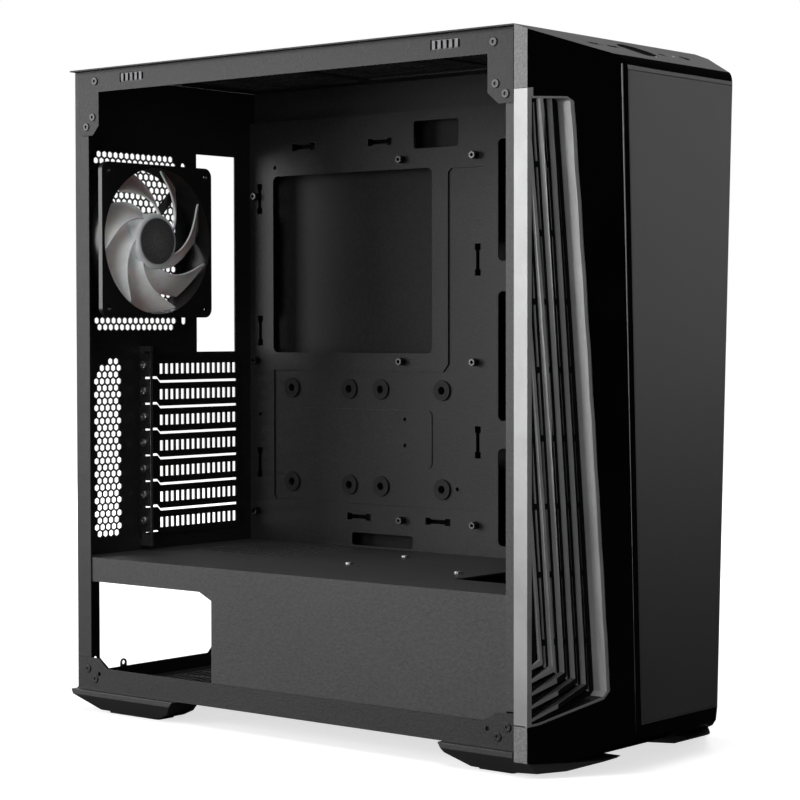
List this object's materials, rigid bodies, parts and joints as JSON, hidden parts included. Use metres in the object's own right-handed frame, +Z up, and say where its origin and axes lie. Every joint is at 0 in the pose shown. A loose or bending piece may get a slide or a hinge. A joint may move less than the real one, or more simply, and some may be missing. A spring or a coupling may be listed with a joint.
{
  "type": "desktop computer tower",
  "caption": "Empty steel tower case for a desktop computer with its left side panel off, rear fan, power supply shroud, slanted front vents and controls on a sloping top edge.",
  "frame": {"origin": "under the middle of the case's overall box, on the surface that it stands on", "axes": "+X to the case's right-hand side (the closed one), +Y to its rear, +Z up"},
  "size_m": [0.217, 0.487, 0.4891],
  "materials": {
    "black_steel": "satin black powder coat, fine grain",
    "grey_steel": "charcoal powder coat, fine grain",
    "zinc": "bright zinc",
    "spring_steel": "plain spring steel",
    "brass": "turned brass",
    "copper": "enamelled copper windings on steel",
    "rubber": "matt black rubber",
    "black_plastic": "matt black plastic",
    "gloss_black": "gloss black plastic",
    "face_black": "satin black plastic",
    "vent_grey": "satin grey plastic with bright edges",
    "fan_grey": "frosted light grey plastic",
    "hub_disc": "matt dark disc",
    "magnet": "sintered magnet",
    "circuit_board": "green solder mask",
    "filter_black": "black mesh in a plastic frame",
    "clear_light": "clear light pipe"
  },
  "bodies": {
    "steel_case": {"rear_panel": "black_steel", "bottom_panel": "grey_steel", "front_frame": "black_steel", "top_frame": "grey_steel", "top_panel": "grey_steel", "board_tray": "black_steel", "power_supply_shroud": "grey_steel", "slot_screw_bar": "zinc", "slot_screws": "zinc", "frame_rivets": "grey_steel", "panel_spring_clips": "spring_steel", "board_standoffs": "black_steel", "drive_grommets": "rubber", "supply_pads": "rubber", "drive_cage": "grey_steel", "drive_rails": "grey_steel", "cage_screws": "zinc", "fan_frame": "black_plastic", "fan_screws": "zinc", "fan_bearing": "brass", "fan_stator": "copper", "fan_board": "circuit_board", "front_left_foot": "black_plastic", "front_right_foot": "black_plastic", "rear_left_foot": "black_plastic", "rear_right_foot": "black_plastic", "foot_pads": "rubber", "foot_screws": "zinc", "slot_cover_1": "black_steel", "slot_cover_2": "black_steel", "slot_cover_3": "black_steel", "slot_cover_4": "black_steel", "slot_cover_5": "black_steel", "slot_cover_6": "black_steel", "slot_cover_7": "black_steel"},
    "rear_fan_rotor": {"fan_rotor": "fan_grey", "fan_magnet": "magnet", "fan_shaft": "spring_steel", "fan_hub_cap": "hub_disc"},
    "front_panel": {"front_shell": "gloss_black", "front_face": "face_black", "left_vent": "vent_grey", "right_vent": "vent_grey", "front_filter": "filter_black", "front_clips": "black_plastic", "io_board": "circuit_board", "usb_ports": "zinc", "audio_jack": "black_plastic", "button_switches": "black_plastic", "status_light": "clear_light"},
    "right_side": {"right_side_panel": "black_steel", "side_thumbscrews": "black_steel"},
    "lower_drive_tray_body": {"lower_drive_tray": "black_plastic"},
    "upper_drive_tray_body": {"upper_drive_tray": "black_plastic"},
    "top_filter_body": {"top_filter": "filter_black"},
    "supply_filter_body": {"supply_filter": "filter_black"},
    "power_button_body": {"power_button": "gloss_black"},
    "reset_button_body": {"reset_button": "gloss_black"}
  },
  "joints": [
    {"name": "rear_fan_spin", "type": "hinge", "parent": "steel_case", "child": "rear_fan_rotor", "pos_m": [-0.0407, 0.2205, 0.3594], "axis": [0, 1, 0], "continuous": true},
    {"name": "front_panel_pull", "type": "slide", "parent": "steel_case", "child": "front_panel", "axis": [0, -1, 0], "range_m": [0, 0.014]},
    {"name": "right_side_slide", "type": "slide", "parent": "steel_case", "child": "right_side", "axis": [0, 1, 0], "range_m": [0, 0.014]},
    {"name": "top_filter_lift", "type": "slide", "parent": "steel_case", "child": "top_filter_body", "axis": [0, 0, 1], "range_m": [0, 0.03]},
    {"name": "supply_filter_slide", "type": "slide", "parent": "steel_case", "child": "supply_filter_body", "axis": [0, 1, 0], "range_m": [0, 0.12]},
    {"name": "lower_drive_tray_slide", "type": "slide", "parent": "steel_case", "child": "lower_drive_tray_body", "axis": [1, 0, 0], "range_m": [0, 0.018]},
    {"name": "upper_drive_tray_slide", "type": "slide", "parent": "steel_case", "child": "upper_drive_tray_body", "axis": [1, 0, 0], "range_m": [0, 0.018]},
    {"name": "power_button_press", "type": "slide", "parent": "front_panel", "child": "power_button_body", "axis": [0, 0.3584, -0.9336], "range_m": [0, 0.0012], "stiffness_N_per_m": 600, "springref_m": -0.0006},
    {"name": "reset_button_press", "type": "slide", "parent": "front_panel", "child": "reset_button_body", "axis": [0, 0.3584, -0.9336], "range_m": [0, 0.0012], "stiffness_N_per_m": 600, "springref_m": -0.0006}
  ]
}
